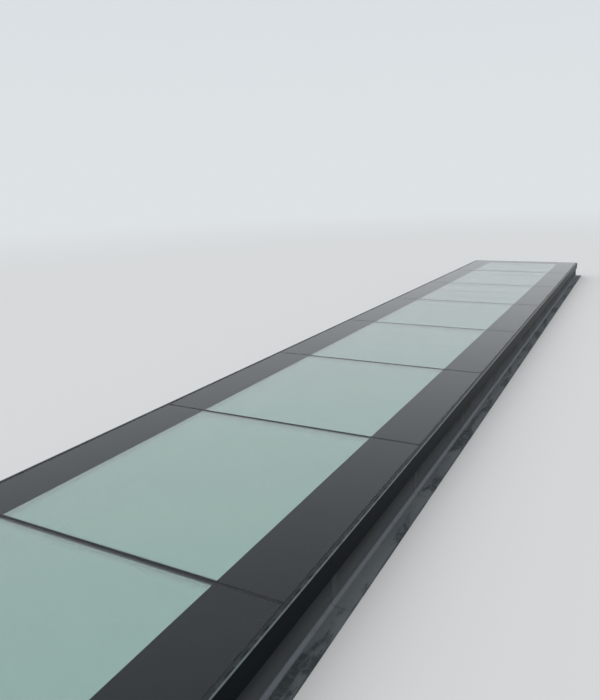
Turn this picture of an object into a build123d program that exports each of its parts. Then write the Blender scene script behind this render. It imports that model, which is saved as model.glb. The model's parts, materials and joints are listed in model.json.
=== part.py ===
from build123d import *
from math import radians, tan
import os

# A long flat linked rooflight: eight double-glazed panes in one thermally broken aluminium frame,
# carried by slim cross bars, on an insulated kerb that is dressed with roofing membrane.
# Millimetres. X runs across the rooflight, Y along it, Z up, and the roof deck is at Z = 0.
# Across a side, places are given as the distance in from the frame's outer face.

# Glass
pane_count = 8
pane_pitch = 1585.0
pane_width = 1794.0
joint_gap = 12.0
glass_top = 245.0
outer_lite_thickness = 10.0
cavity_depth = 12.0
inner_lite_thickness = 13.5
glass_arris = 1.0
enamel_width = 296.0
enamel_thickness = 0.5
edge_seal_width = 4.0
spacer_width = 6.0

# Frame
top_strip_width = 18.0
perimeter_gap = 10.0
fascia_depth = 101.0
frame_wall = 3.0
frame_arris = 3.0
inner_arris = 1.0
drip_gap = 3.0
drip_lip_thickness = 2.0
thermal_gap = 18.0
ledge_width = 60.0
ledge_height = 50.0
ledge_web_in = 28.0
boss_height = 12.0
boss_reach = 5.0
strip_thickness = 2.4
strip_foot = 4.8
strip_foot_depth = 4.0
strip_inset = 8.5

# Seals and tapes
seal_depth = 10.0
seal_hollow = 1.2
rod_clearance = 0.2
tape_thickness = 4.0
tape_width = 20.0
tape_inset = 6.0
bead_width = 20.0
bead_offset = 6.0
air_seal_width = 14.0
bar_tape_width = 12.0
bar_tape_inset = 2.0
packer_length = 60.0
packer_height = 13.0
packer_edge_distance = 260.0

# Cross bars
bar_width = 50.0
bar_flange = 15.0
bar_stem = 6.0
bar_end_clearance = 1.0

# Brackets and screws
bracket_leg = 34.0
bracket_thickness = 4.0
bracket_edge = 2.0
end_bracket_count = 3
screw_place = 21.0
screw_head_across = 10.0
screw_head_height = 5.0
cleat_leg = 70.0
cleat_clearance = 0.3

# Kerb and membrane
membrane_gap = 11.0
kerb_board_thickness = 18.0
kerb_plate_thickness = 45.0
lining_thickness = 20.0
lining_notch_clearance = 1.0
membrane_thickness = 3.0
membrane_return = 127.0
membrane_bend = 8.0
flange_width = 94.0
cant_leg = 15.0
patch_thickness = 1.5
patch_flange_width = 62.0
patch_up_stand = 85.0
patch_leg = 110.0
rail_width = 45.0
insulation_clearance = 2.0
insulation_top_gap = 6.0

# Derived plan sizes
pane_length = pane_pitch - joint_gap
glass_set_in = top_strip_width + perimeter_gap
frame_width = pane_width + 2 * glass_set_in
frame_length = pane_count * pane_pitch - joint_gap + 2 * glass_set_in
clear_set_in = glass_set_in + enamel_width
lining_set_in = clear_set_in - lining_thickness
ledge_set_in = top_strip_width + thermal_gap
ledge_end = ledge_set_in + ledge_width
bracket_width = bar_width - 2 * bracket_edge
face_in = frame_wall + membrane_gap
kerb_set_in = face_in + membrane_thickness
board_end = kerb_set_in + kerb_board_thickness
foot = face_in - cant_leg
drip_lip_width = face_in - drip_gap
rail_set_in = lining_set_in - rail_width
half_width = frame_width / 2
half_length = frame_length / 2
joint_places = [-half_length + glass_set_in - joint_gap / 2 + n * pane_pitch for n in range(1, pane_count)]
pane_places = [-half_length + glass_set_in + pane_length / 2 + n * pane_pitch for n in range(pane_count)]

# Derived levels
outer_lite_bottom = glass_top - outer_lite_thickness
enamel_bottom = outer_lite_bottom - enamel_thickness
inner_lite_top = outer_lite_bottom - cavity_depth
inner_lite_bottom = inner_lite_top - inner_lite_thickness
ledge_top = inner_lite_bottom - tape_thickness
frame_base = ledge_top - ledge_height
kerb_top = frame_base - membrane_thickness
bar_bottom = ledge_top - bar_flange
fascia_bottom = glass_top - fascia_depth

# The four sides: distance from the centre to the outer face, half the length, turn about Z
sides = {
    "right": (half_width, half_length, 0),
    "far": (half_length, half_width, 90),
    "left": (half_width, half_length, 180),
    "near": (half_length, half_width, 270),
}

tall = 10 * glass_top
wide = 3 * flange_width

os.makedirs("parts", exist_ok=True)


def write(name, solids):
    export_step(Compound(children=list(solids)), f"parts/{name}.step")


def section(points):
    return make_face(Polyline(*points, close=True))


def bent_section(points, bends):
    # A section with some corners rounded: each bend is a corner's number and its radius.
    face = section(points)
    for number, radius in bends:
        corner = face.vertices().sort_by_distance((*points[number], 0))[0]
        face = fillet(corner, radius)
    return face


def rectangle(start, end, low, high):
    return section([(start, low), (end, low), (end, high), (start, high)])


def mitred_run(face, side):
    # One length of a section along a side, with both ends cut on the corners' bisectors.
    reach, half, turn = sides[side]
    across = Plane(origin=(reach, 0, 0), x_dir=(-1, 0, 0), z_dir=(0, 1, 0))
    run = extrude(across * face, amount=half + wide, both=True)
    corners = [
        (reach + wide, half + wide),
        (reach + wide, -half - wide),
        (reach - clear_set_in, clear_set_in - half),
        (reach - clear_set_in, half - clear_set_in),
    ]
    wedge = extrude(make_face(Polyline(*corners, close=True)), amount=tall)
    return Rot(0, 0, turn) * (run & wedge)


def board(side, start, end, low, high):
    # Long boards run past the corners, and the end boards fit between them.
    reach, half, turn = sides[side]
    long_side = side in ("left", "right")
    length = 2 * (half - (start if long_side else end))
    block = Pos(reach - (start + end) / 2, 0, (low + high) / 2) * Box(end - start, length, high - low)
    return Rot(0, 0, turn) * block


def corner_pieces(face, leg):
    # One angled piece round each corner, with legs of the given length.
    pieces = []
    runs = {side: mitred_run(face, side) for side in sides}
    for end, y_sign in (("near", -1), ("far", 1)):
        for flank, x_sign in (("left", -1), ("right", 1)):
            across = x_sign * (half_width + (wide - leg) / 2)
            along = y_sign * (half_length + (wide - leg) / 2)
            zone = Pos(across, along, 0) * Box(leg + wide, leg + wide, tall)
            pieces.append(((runs[end] & zone) + (runs[flank] & zone)).solid())
    return pieces


def pane_ring(start, end, low, high, place):
    # A closed frame that follows a pane's edge, between two distances in from the glass edge.
    outer = Rectangle(pane_width - 2 * start, pane_length - 2 * start)
    inner = Rectangle(pane_width - 2 * end, pane_length - 2 * end)
    return Pos(0, place, low) * extrude(outer - inner, amount=high - low)


# Glass panes: toughened outer lite over a thicker laminated inner lite
def lite(thickness, low, place):
    plate = Pos(0, place, low + thickness / 2) * Box(pane_width, pane_length, thickness)
    return chamfer(plate.edges(), glass_arris)


for n, place in enumerate(pane_places):
    write(f"outer_lite_{n + 1}", [lite(outer_lite_thickness, outer_lite_bottom, place)])
    write(f"inner_lite_{n + 1}", [lite(inner_lite_thickness, inner_lite_bottom, place)])

# Edge of each double-glazed unit: spacer frame and the seal outside it
seal_end = edge_seal_width + spacer_width
cavity_levels = (inner_lite_top, enamel_bottom)
spacer_frames = [pane_ring(edge_seal_width, seal_end, *cavity_levels, place) for place in pane_places]
edge_seals = [pane_ring(0, edge_seal_width, *cavity_levels, place) for place in pane_places]
write("spacer_frames", spacer_frames)
write("edge_seals", edge_seals)

# Dark enamel printed under the outer lites, as far in as the kerb's lining
clear_half_length = half_length - clear_set_in
clear_light = Box(frame_width - 2 * clear_set_in, 2 * clear_half_length, tall)
enamel_bands = []
for place in pane_places:
    sheet = Pos(0, place, (enamel_bottom + outer_lite_bottom) / 2) * Box(
        pane_width - 2 * glass_arris, pane_length - 2 * glass_arris, enamel_thickness
    )
    enamel_bands += (sheet - clear_light).solids()
write("enamel_bands", enamel_bands)

# Bosses with dovetail grooves hold the thermal break strips between frame and ledge
strip_levels = (frame_base + strip_inset, ledge_top - strip_inset)
groove_floor = boss_reach - strip_foot_depth


def break_strip(level):
    start = top_strip_width + groove_floor
    end = ledge_set_in - groove_floor
    thin = strip_thickness / 2
    broad = strip_foot / 2
    upper = [(start, broad), (start + strip_foot_depth, thin), (end - strip_foot_depth, thin), (end, broad)]
    lower = [(along, -height) for along, height in reversed(upper)]
    return section([(along, level + height) for along, height in upper + lower])


def boss(start, end, level):
    return rectangle(start, end, level - boss_height / 2, level + boss_height / 2)


strip_faces = [break_strip(level) for level in strip_levels]
write("thermal_break_strips", [mitred_run(face, side).solid() for face in strip_faces for side in sides])

# Outer frame: two-chamber box with the top strip, the fascia and its drip lip
frame_outline = section(
    [
        (0, fascia_bottom),
        (0, glass_top),
        (top_strip_width, glass_top),
        (top_strip_width, frame_base),
        (frame_wall, frame_base),
        (frame_wall, fascia_bottom + drip_lip_thickness),
        (drip_lip_width, fascia_bottom + drip_lip_thickness),
        (drip_lip_width, fascia_bottom),
    ]
)
for turn, radius in ((0, frame_arris), (-1, inner_arris)):
    top_corners = frame_outline.vertices().filter_by_position(Axis.Y, glass_top, glass_top)
    frame_outline = fillet(top_corners.sort_by(Axis.X)[turn], radius)
web_level = ledge_top
chamber_end = top_strip_width - frame_wall
frame_face = frame_outline
frame_face -= rectangle(frame_wall, chamber_end, web_level + frame_wall, glass_top - frame_wall)
frame_face -= rectangle(frame_wall, chamber_end, frame_base + frame_wall, web_level)
for level, strip in zip(strip_levels, strip_faces):
    frame_face += boss(top_strip_width, top_strip_width + boss_reach, level)
    frame_face -= strip

# Ledge profile that carries the glass: two chambers on the kerb's top
ledge_web = ledge_set_in + ledge_web_in
ledge_face = rectangle(ledge_set_in, ledge_end, frame_base, ledge_top)
ledge_chambers = ((ledge_set_in + frame_wall, ledge_web), (ledge_web + frame_wall, ledge_end - frame_wall))
for start, end in ledge_chambers:
    ledge_face -= rectangle(start, end, frame_base + frame_wall, ledge_top - frame_wall)
for level, strip in zip(strip_levels, strip_faces):
    ledge_face += boss(ledge_set_in - boss_reach, ledge_set_in, level)
    ledge_face -= strip

# Angled blocks inside the frame's lower chamber hold the mitred corners together
cleat_face = rectangle(
    frame_wall + cleat_clearance,
    chamber_end - cleat_clearance,
    frame_base + frame_wall + cleat_clearance,
    web_level - cleat_clearance,
)
write("corner_cleats", corner_pieces(cleat_face, cleat_leg))

# Weather seals round the glass and in the joints, each over a foam rod
def tooled_seal(start, end):
    middle = (start + end) / 2
    low = glass_top - seal_depth
    sides_and_base = Polyline((start, glass_top), (start, low), (end, low), (end, glass_top))
    hollow = ThreePointArc((end, glass_top), (middle, glass_top - seal_hollow), (start, glass_top))
    return make_face([sides_and_base, hollow])


def foam_rod(middle, gap):
    radius = (gap - rod_clearance) / 2
    return Pos(middle, glass_top - seal_depth - radius) * Circle(radius)


perimeter_seal = tooled_seal(top_strip_width, glass_set_in)
write("perimeter_seals", [mitred_run(perimeter_seal, side).solid() for side in sides])
perimeter_rod = foam_rod(top_strip_width + perimeter_gap / 2, perimeter_gap)
joint_plane = Plane(origin=(0, 0, 0), x_dir=(0, 1, 0), z_dir=(1, 0, 0))
joint_seals = []
foam_rods = [mitred_run(perimeter_rod, side).solid() for side in sides]
for place in joint_places:
    seal = tooled_seal(place - joint_gap / 2, place + joint_gap / 2)
    joint_seals.append(extrude(joint_plane * seal, amount=pane_width / 2, both=True).solid())
    rod = foam_rod(place, joint_gap)
    foam_rods.append(extrude(joint_plane * rod, amount=pane_width / 2, both=True).solid())
write("joint_seals", joint_seals)
write("foam_rods", foam_rods)

# Cross bars: upturned T, with the panes bedded on its flange and its stem up in the joint
bar_reach = half_width - ledge_end - bar_end_clearance
stem_top = glass_top - seal_depth - joint_gap
for n, place in enumerate(joint_places):
    bar_face = rectangle(place - bar_width / 2, place + bar_width / 2, bar_bottom, ledge_top)
    bar_face += rectangle(place - bar_stem / 2, place + bar_stem / 2, bar_bottom, stem_top)
    write(f"glazing_bar_{n + 1}", [extrude(joint_plane * bar_face, amount=bar_reach, both=True)])

# Tapes and bedding beads under the glass, on the ledges and the bars
tape_start = ledge_set_in + tape_inset
bead_start = tape_start + tape_width + bead_offset
air_seal_start = lining_set_in + (lining_thickness - air_seal_width) / 2
tape_face = rectangle(tape_start, tape_start + tape_width, ledge_top, inner_lite_bottom)
bead_face = rectangle(bead_start, bead_start + bead_width, ledge_top, inner_lite_bottom)
air_seal_face = rectangle(air_seal_start, air_seal_start + air_seal_width, ledge_top, inner_lite_bottom)
tapes = [mitred_run(tape_face, side).solid() for side in sides]
tape_half_length = half_width - air_seal_start - air_seal_width
for place in joint_places:
    for way in (-1, 1):
        offset = way * (joint_gap / 2 + bar_tape_inset + bar_tape_width / 2)
        strip = Box(2 * tape_half_length, bar_tape_width, tape_thickness)
        tapes.append(Pos(0, place + offset, ledge_top + tape_thickness / 2) * strip)
write("glazing_tapes", tapes)
write("bedding_beads", [mitred_run(bead_face, side).solid() for side in sides])
air_seals = []
for side in sides:
    strip = mitred_run(air_seal_face, side)
    if side in ("left", "right"):
        for place in joint_places:
            strip -= Pos(0, place, 0) * Box(frame_width, bar_stem, tall)
    air_seals += strip.solids()
write("air_seals", air_seals)

# Location packers stand in the gap between the frame and each pane's edge
packers = []
packer_middle = (inner_lite_bottom + inner_lite_bottom + packer_height) / 2
for place in pane_places:
    for way in (-1, 1):
        for flank in (-1, 1):
            spot = Pos(
                flank * (half_width - top_strip_width - perimeter_gap / 2),
                place + way * (pane_length / 2 - packer_edge_distance),
                packer_middle,
            )
            packers.append(spot * Box(perimeter_gap, packer_length, packer_height))
for end in (-1, 1):
    for flank in (-1, 1):
        spot = Pos(
            flank * (pane_width / 2 - packer_edge_distance),
            end * (half_length - top_strip_width - perimeter_gap / 2),
            packer_middle,
        )
        packers.append(spot * Box(packer_length, perimeter_gap, packer_height))
write("location_packers", packers)


# Angle bracket, cut from an extrusion, and the hexagon head of a screw on each leg
def bracket_shape():
    outline = section(
        [
            (0, 0),
            (bracket_leg, 0),
            (bracket_leg, bracket_thickness),
            (bracket_thickness, bracket_thickness),
            (bracket_thickness, bracket_leg),
            (0, bracket_leg),
        ]
    )
    upright = Plane(origin=(0, 0, 0), x_dir=(1, 0, 0), z_dir=(0, -1, 0))
    return extrude(upright * outline, amount=bracket_width / 2, both=True)


bracket = bracket_shape()
screw_head = extrude(RegularPolygon(screw_head_across / 2, 6, major_radius=False), amount=screw_head_height)
screw_spots = (
    Pos(screw_place, 0, bracket_thickness),
    Pos(bracket_thickness, 0, screw_place) * Rot(0, 90, 0),
)


def inward(side, along, level):
    # A place on the ledge's inner face, with X pointing in towards the light and Z up.
    reach, half, turn = sides[side]
    plane = Plane(origin=(reach - ledge_end, along, level), x_dir=(-1, 0, 0), z_dir=(0, 0, 1))
    return Rot(0, 0, turn) * plane.location


# Frame brackets hold the ledge down to the kerb: one for each pane and side, some at each end
bracket_spots = []
for place in pane_places:
    bracket_spots.append(inward("right", place, frame_base))
    bracket_spots.append(inward("left", -place, frame_base))
end_bracket_pitch = (frame_width - 2 * clear_set_in) / end_bracket_count
for n in range(end_bracket_count):
    along = (n - (end_bracket_count - 1) / 2) * end_bracket_pitch
    bracket_spots.append(inward("far", along, frame_base))
    bracket_spots.append(inward("near", along, frame_base))
write("frame_brackets", [spot * bracket for spot in bracket_spots])

# Bar brackets under each bar's ends join it to the ledges
bar_bracket_spots = []
for place in joint_places:
    for flank in (-1, 1):
        corner = Plane(
            origin=(flank * (half_width - ledge_end), place, bar_bottom),
            x_dir=(-flank, 0, 0),
            z_dir=(0, 0, -1),
        )
        bar_bracket_spots.append(corner.location)
write("bar_brackets", [spot * bracket for spot in bar_bracket_spots])
all_spots = [spot * place for spot in bracket_spots + bar_bracket_spots for place in screw_spots]
write("screw_heads", [spot * screw_head for spot in all_spots])

# Write the frame and ledge runs, one along each side
for side in sides:
    kind = "side" if side in ("left", "right") else "end"
    write(f"{kind}_frame_{side}", [mitred_run(frame_face, side).solid()])
    write(f"{kind}_ledge_{side}", [mitred_run(ledge_face, side).solid()])

# Membrane: a flange on the deck with a cant at its foot, and an upstand turned in over the kerb
bend = membrane_thickness * tan(radians(22.5))
cant_low = membrane_thickness + cant_leg - bend
cant_high = membrane_thickness + cant_leg
upstand_low = cant_high + membrane_bend
flange_end = face_in - flange_width
return_end = kerb_set_in + membrane_return
sheet_face = bent_section(
    [
        (flange_end, 0),
        (flange_end, membrane_thickness),
        (foot, membrane_thickness),
        (face_in, cant_high),
        (face_in, frame_base),
        (return_end, frame_base),
        (return_end, kerb_top),
        (kerb_set_in, kerb_top),
        (kerb_set_in, cant_low),
        (foot + bend, 0),
    ],
    [
        (2, membrane_bend),
        (3, membrane_bend),
        (8, membrane_bend + membrane_thickness),
        (9, membrane_bend + membrane_thickness),
    ],
)
flange_face = sheet_face & rectangle(flange_end, return_end, 0, upstand_low)
upstand_face = sheet_face - rectangle(flange_end, return_end, 0, upstand_low)
cant_face = section([(foot + bend, 0), (kerb_set_in, 0), (kerb_set_in, cant_low)])
write("membrane_flanges", [mitred_run(flange_face, side).solid() for side in sides])
write("membrane_upstands", [mitred_run(upstand_face, side).solid() for side in sides])
write("cant_strips", [mitred_run(cant_face, side).solid() for side in sides])

# Corner patches are welded over the membrane's mitres
patch_shift = patch_thickness * tan(radians(22.5))
patch_end = face_in - patch_flange_width
patch_face = bent_section(
    [
        (patch_end, membrane_thickness),
        (foot, membrane_thickness),
        (face_in, cant_high),
        (face_in, patch_up_stand),
        (face_in - patch_thickness, patch_up_stand),
        (face_in - patch_thickness, cant_high + patch_shift),
        (foot - patch_shift, membrane_thickness + patch_thickness),
        (patch_end, membrane_thickness + patch_thickness),
    ],
    [
        (1, membrane_bend),
        (2, membrane_bend),
        (5, membrane_bend - patch_thickness),
        (6, membrane_bend - patch_thickness),
    ],
)
write("corner_patches", corner_pieces(patch_face, patch_leg))

# Kerb: outer boards, plates, insulation between them, and a lining with notches for the bars
plate_low = kerb_top - kerb_plate_thickness
write("kerb_boards", [board(side, kerb_set_in, board_end, 0, kerb_top) for side in sides])
linings = []
for side in sides:
    lining = board(side, lining_set_in, clear_set_in, 0, ledge_top)
    if side in ("left", "right"):
        for place in joint_places:
            notch = Box(frame_width, bar_width + 2 * lining_notch_clearance, 2 * bar_flange)
            lining -= Pos(0, place, bar_bottom + bar_flange) * notch
    linings.append(lining.solid())
write("reveal_linings", linings)
write("sole_plates", [board(side, board_end, lining_set_in, 0, kerb_plate_thickness) for side in sides])
write("top_plates", [board(side, board_end, lining_set_in, plate_low, kerb_top) for side in sides])
core_levels = (kerb_plate_thickness, plate_low)
write("kerb_insulation", [board(side, board_end, lining_set_in, *core_levels) for side in sides])

# Rails on the kerb's top carry the bars' ends
write("bar_rails", [board(side, rail_set_in, lining_set_in, kerb_top, bar_bottom) for side in sides])

# Insulation between the brackets and the rails, notched where the bars pass over it
fill_start = max(kerb_set_in + membrane_return, ledge_end + bracket_leg) + insulation_clearance
fill_end = rail_set_in - insulation_clearance
fill_high = inner_lite_bottom - insulation_top_gap
edge_fill = []
for side in sides:
    strip = board(side, fill_start, fill_end, kerb_top, fill_high)
    if side in ("left", "right"):
        for place in joint_places:
            notch = Box(frame_width, bar_width + 2 * insulation_clearance, tall)
            strip -= Pos(0, place, bar_bottom - insulation_clearance + tall / 2) * notch
    edge_fill.append(strip.solid())
write("edge_insulation", edge_fill)
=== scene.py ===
import json
import math

import bmesh
import bpy
from mathutils import Matrix, Vector


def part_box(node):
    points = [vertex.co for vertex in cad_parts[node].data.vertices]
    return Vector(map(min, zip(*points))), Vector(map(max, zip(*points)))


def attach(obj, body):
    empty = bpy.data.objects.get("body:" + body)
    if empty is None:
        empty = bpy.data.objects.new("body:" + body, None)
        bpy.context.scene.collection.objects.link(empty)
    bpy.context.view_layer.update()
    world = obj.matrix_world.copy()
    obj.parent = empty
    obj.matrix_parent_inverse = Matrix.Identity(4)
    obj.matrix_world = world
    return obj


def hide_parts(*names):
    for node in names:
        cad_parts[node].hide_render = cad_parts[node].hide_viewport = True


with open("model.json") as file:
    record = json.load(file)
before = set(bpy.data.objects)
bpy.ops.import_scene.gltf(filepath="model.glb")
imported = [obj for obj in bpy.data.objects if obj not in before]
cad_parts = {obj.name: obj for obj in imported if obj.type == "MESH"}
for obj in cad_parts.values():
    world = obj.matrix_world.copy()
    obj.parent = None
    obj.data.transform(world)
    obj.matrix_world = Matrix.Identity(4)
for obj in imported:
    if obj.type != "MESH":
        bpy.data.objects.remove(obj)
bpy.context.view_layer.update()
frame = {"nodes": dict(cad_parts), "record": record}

nodes = frame["nodes"]

X, Y, Z = range(3)


def start_of(node_name, axis):
    # Where a construction node starts along an axis, to the nearest thousandth of a millimetre
    return round(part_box(node_name)[0][axis], 6)


def end_of(node_name, axis):
    return round(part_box(node_name)[1][axis], 6)


# Sizes and levels that the construction gives, in metres
outer_lites = sorted(name for name in nodes if name.startswith("outer_lite_"))
half_width = end_of("side_frame_right", X)
half_length = end_of("end_frame_far", Y)
glass_top = end_of("outer_lite_1", Z)
lite_bottom = start_of("outer_lite_1", Z)
inner_lite_bottom = start_of("inner_lite_1", Z)
glass_set_in = half_width - end_of("outer_lite_1", X)
ledge_end = half_width - start_of("side_ledge_right", X)
frame_base = start_of("side_ledge_right", Z)
fascia_bottom = start_of("side_frame_right", Z)
bar_bottom = start_of("glazing_bar_1", Z)
upstand_in = half_width - end_of("membrane_upstands", X)
flange_reach = end_of("membrane_flanges", X) - half_width
pane_places = [(start_of(lite, Y) + end_of(lite, Y)) / 2 for lite in outer_lites]
joint_places = [
    (end_of(lite, Y) + start_of(after, Y)) / 2 for lite, after in zip(outer_lites, outer_lites[1:])
]

# Sizes that the part's source sets and no node's box shows
enamel_width = 0.296
bracket_thickness = 0.004
screw_place = 0.021
end_bracket_count = 3
cant_leg = 0.015
membrane_bend = 0.008
flange_top = 0.003
clear_set_in = glass_set_in + enamel_width
end_bracket_pitch = 2 * (half_width - clear_set_in) / end_bracket_count

# Sizes of the pieces that only this script makes
wetting_depth = 0.00005
coating_margin = 0.013
coating_thickness = 0.0001
coating_drop = 0.00015
lap_width = 0.055
lap_thickness = 0.0014
lap_edge_gap = 0.003
lap_top_gap = 0.0005
lap_count = 11
lap_wander = 0.035


def tone(code):
    # A colour written as it looks on a screen, turned into the shader's own numbers
    parts = [int(code[n : n + 2], 16) / 255 for n in (0, 2, 4)]
    lit = [p / 12.92 if p <= 0.04045 else ((p + 0.055) / 1.055) ** 2.4 for p in parts]
    return (*lit, 1.0)


# Small helpers for building shaders
def feed(tree, socket, value):
    if isinstance(value, bpy.types.NodeSocket):
        tree.links.new(value, socket)
    else:
        socket.default_value = value


def arithmetic(tree, operation, *values, clamp=False):
    node = tree.nodes.new("ShaderNodeMath")
    node.operation = operation
    node.use_clamp = clamp
    for socket, value in zip(node.inputs, values):
        feed(tree, socket, value)
    return node.outputs[0]


def times(tree, first, second):
    return arithmetic(tree, "MULTIPLY", first, second)


def vector_arithmetic(tree, operation, *values):
    node = tree.nodes.new("ShaderNodeVectorMath")
    node.operation = operation
    for socket, value in zip(node.inputs, values):
        feed(tree, socket, value)
    return node.outputs["Value"] if operation in ("DOT_PRODUCT", "LENGTH") else node.outputs[0]


def stretched(tree, place, factors):
    # A place to read a pattern from, so that the pattern is drawn out or narrowed along the axes
    return vector_arithmetic(tree, "MULTIPLY", place, factors)


def split(tree, vector):
    node = tree.nodes.new("ShaderNodeSeparateXYZ")
    feed(tree, node.inputs[0], vector)
    return node.outputs


def noise(tree, vector, scale, detail=4.0, roughness=0.55, distortion=0.0):
    node = tree.nodes.new("ShaderNodeTexNoise")
    for name, value in (
        ("Vector", vector),
        ("Scale", scale),
        ("Detail", detail),
        ("Roughness", roughness),
        ("Distortion", distortion),
    ):
        feed(tree, node.inputs[name], value)
    return node.outputs["Fac"]


def ramp(tree, value, low, high, to_low=0.0, to_high=1.0):
    # A soft step: to_low up to one value, to_high from the other
    node = tree.nodes.new("ShaderNodeMapRange")
    node.interpolation_type = "SMOOTHSTEP"
    for name, number in (
        ("Value", value),
        ("From Min", low),
        ("From Max", high),
        ("To Min", to_low),
        ("To Max", to_high),
    ):
        feed(tree, node.inputs[name], number)
    return node.outputs["Result"]


def between(tree, mask, at_none, at_full):
    # A mask turned into numbers from one value to another
    return ramp(tree, mask, 0.0, 1.0, at_none, at_full)


def blended(tree, share, first, second):
    # One colour over another, as far as the share says
    node = tree.nodes.new("ShaderNodeMix")
    node.data_type = "RGBA"
    feed(tree, node.inputs[0], share)
    feed(tree, node.inputs[6], first)
    feed(tree, node.inputs[7], second)
    return node.outputs[2]


def effect(name, inputs, outputs):
    # A shader node group, with its named inputs and outputs
    tree = bpy.data.node_groups.new(name, "ShaderNodeTree")
    for label, kind, value in inputs:
        socket = tree.interface.new_socket(label, in_out="INPUT", socket_type=kind)
        if value is not None:
            socket.default_value = value
    for label, kind in outputs:
        tree.interface.new_socket(label, in_out="OUTPUT", socket_type=kind)
    taken = tree.nodes.new("NodeGroupInput").outputs
    given = tree.nodes.new("NodeGroupOutput").inputs
    return tree, taken, given


NUMBER = "NodeSocketFloat"
VECTOR = "NodeSocketVector"


def make_patchy_stain():
    tree, taken, given = effect(
        "Patchy stain",
        [
            ("Place", VECTOR, None),
            ("Patch size", NUMBER, 0.3),
            ("Cover", NUMBER, 0.4),
            ("Softness", NUMBER, 0.12),
            ("Shift", NUMBER, 0.0),
        ],
        [("Mask", NUMBER)],
    )
    moved = vector_arithmetic(tree, "ADD", taken["Place"], taken["Shift"])
    scale = arithmetic(tree, "DIVIDE", 1.0, taken["Patch size"])
    cloud = noise(tree, moved, scale, detail=6.0, roughness=0.62, distortion=0.35)
    middle = between(tree, taken["Cover"], 0.72, 0.28)
    low = arithmetic(tree, "SUBTRACT", middle, taken["Softness"])
    high = arithmetic(tree, "ADD", middle, taken["Softness"])
    feed(tree, given["Mask"], ramp(tree, cloud, low, high))
    return tree


def make_rain_streaks():
    tree, taken, given = effect(
        "Rain streaks",
        [("Place", VECTOR, None), ("Width", NUMBER, 0.03), ("Cover", NUMBER, 0.4)],
        [("Mask", NUMBER)],
    )
    # Drawn out in height, so that the streaks run down
    drawn = stretched(tree, taken["Place"], (1.0, 1.0, 0.08))
    scale = arithmetic(tree, "DIVIDE", 1.0, taken["Width"])
    fine = noise(tree, drawn, scale, detail=3.0, roughness=0.6)
    broad = noise(tree, taken["Place"], 1.7, detail=3.0)
    both = arithmetic(tree, "ADD", times(tree, fine, 0.6), times(tree, broad, 0.4))
    middle = between(tree, taken["Cover"], 0.68, 0.34)
    feed(tree, given["Mask"], ramp(tree, both, middle, arithmetic(tree, "ADD", middle, 0.14)))
    return tree


def make_settled_dust():
    tree, taken, given = effect(
        "Settled dust",
        [
            ("Place", VECTOR, None),
            ("Normal", VECTOR, None),
            ("Amount", NUMBER, 0.6),
            ("Patch size", NUMBER, 0.12),
        ],
        [("Mask", NUMBER)],
    )
    upward = ramp(tree, split(tree, taken["Normal"])["Z"], 0.35, 0.95)
    scale = arithmetic(tree, "DIVIDE", 1.0, taken["Patch size"])
    patches = ramp(tree, noise(tree, taken["Place"], scale, detail=7.0, roughness=0.65), 0.30, 0.72)
    grains = ramp(tree, noise(tree, taken["Place"], 420.0, detail=2.0), 0.35, 0.65, 0.7, 1.0)
    mask = times(tree, times(tree, upward, patches), grains)
    feed(tree, given["Mask"], arithmetic(tree, "MULTIPLY", mask, taken["Amount"], clamp=True))
    return tree


def make_surface_grain():
    tree, taken, given = effect(
        "Surface grain",
        [("Place", VECTOR, None), ("Grain size", NUMBER, 0.001), ("Unevenness", NUMBER, 0.2)],
        [("Height", NUMBER), ("Shade", NUMBER)],
    )
    scale = arithmetic(tree, "DIVIDE", 1.0, taken["Grain size"])
    fine = noise(tree, taken["Place"], scale, detail=2.0)
    broad = noise(tree, taken["Place"], 6.0, detail=3.0)
    swell = times(tree, broad, taken["Unevenness"])
    feed(tree, given["Height"], arithmetic(tree, "ADD", fine, swell))
    feed(tree, given["Shade"], ramp(tree, fine, 0.3, 0.7))
    return tree


def make_wood_grain():
    tree, taken, given = effect(
        "Wood grain",
        [("Place", VECTOR, None), ("Ring width", NUMBER, 0.006), ("Wander", NUMBER, 2.5)],
        [("Rings", NUMBER), ("Fibre", NUMBER)],
    )
    along = stretched(tree, taken["Place"], (1.0, 0.05, 1.0))
    bands = tree.nodes.new("ShaderNodeTexWave")
    bands.wave_type = "RINGS"
    bands.rings_direction = "Y"
    feed(tree, bands.inputs["Vector"], along)
    feed(tree, bands.inputs["Scale"], arithmetic(tree, "DIVIDE", 0.16, taken["Ring width"]))
    feed(tree, bands.inputs["Distortion"], taken["Wander"])
    feed(tree, bands.inputs["Detail"], 3.0)
    feed(tree, bands.inputs["Detail Scale"], 1.5)
    thin = stretched(tree, taken["Place"], (1.0, 0.02, 1.0))
    feed(tree, given["Rings"], bands.outputs["Fac"])
    feed(tree, given["Fibre"], noise(tree, thin, 700.0, detail=3.0))
    return tree


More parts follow.
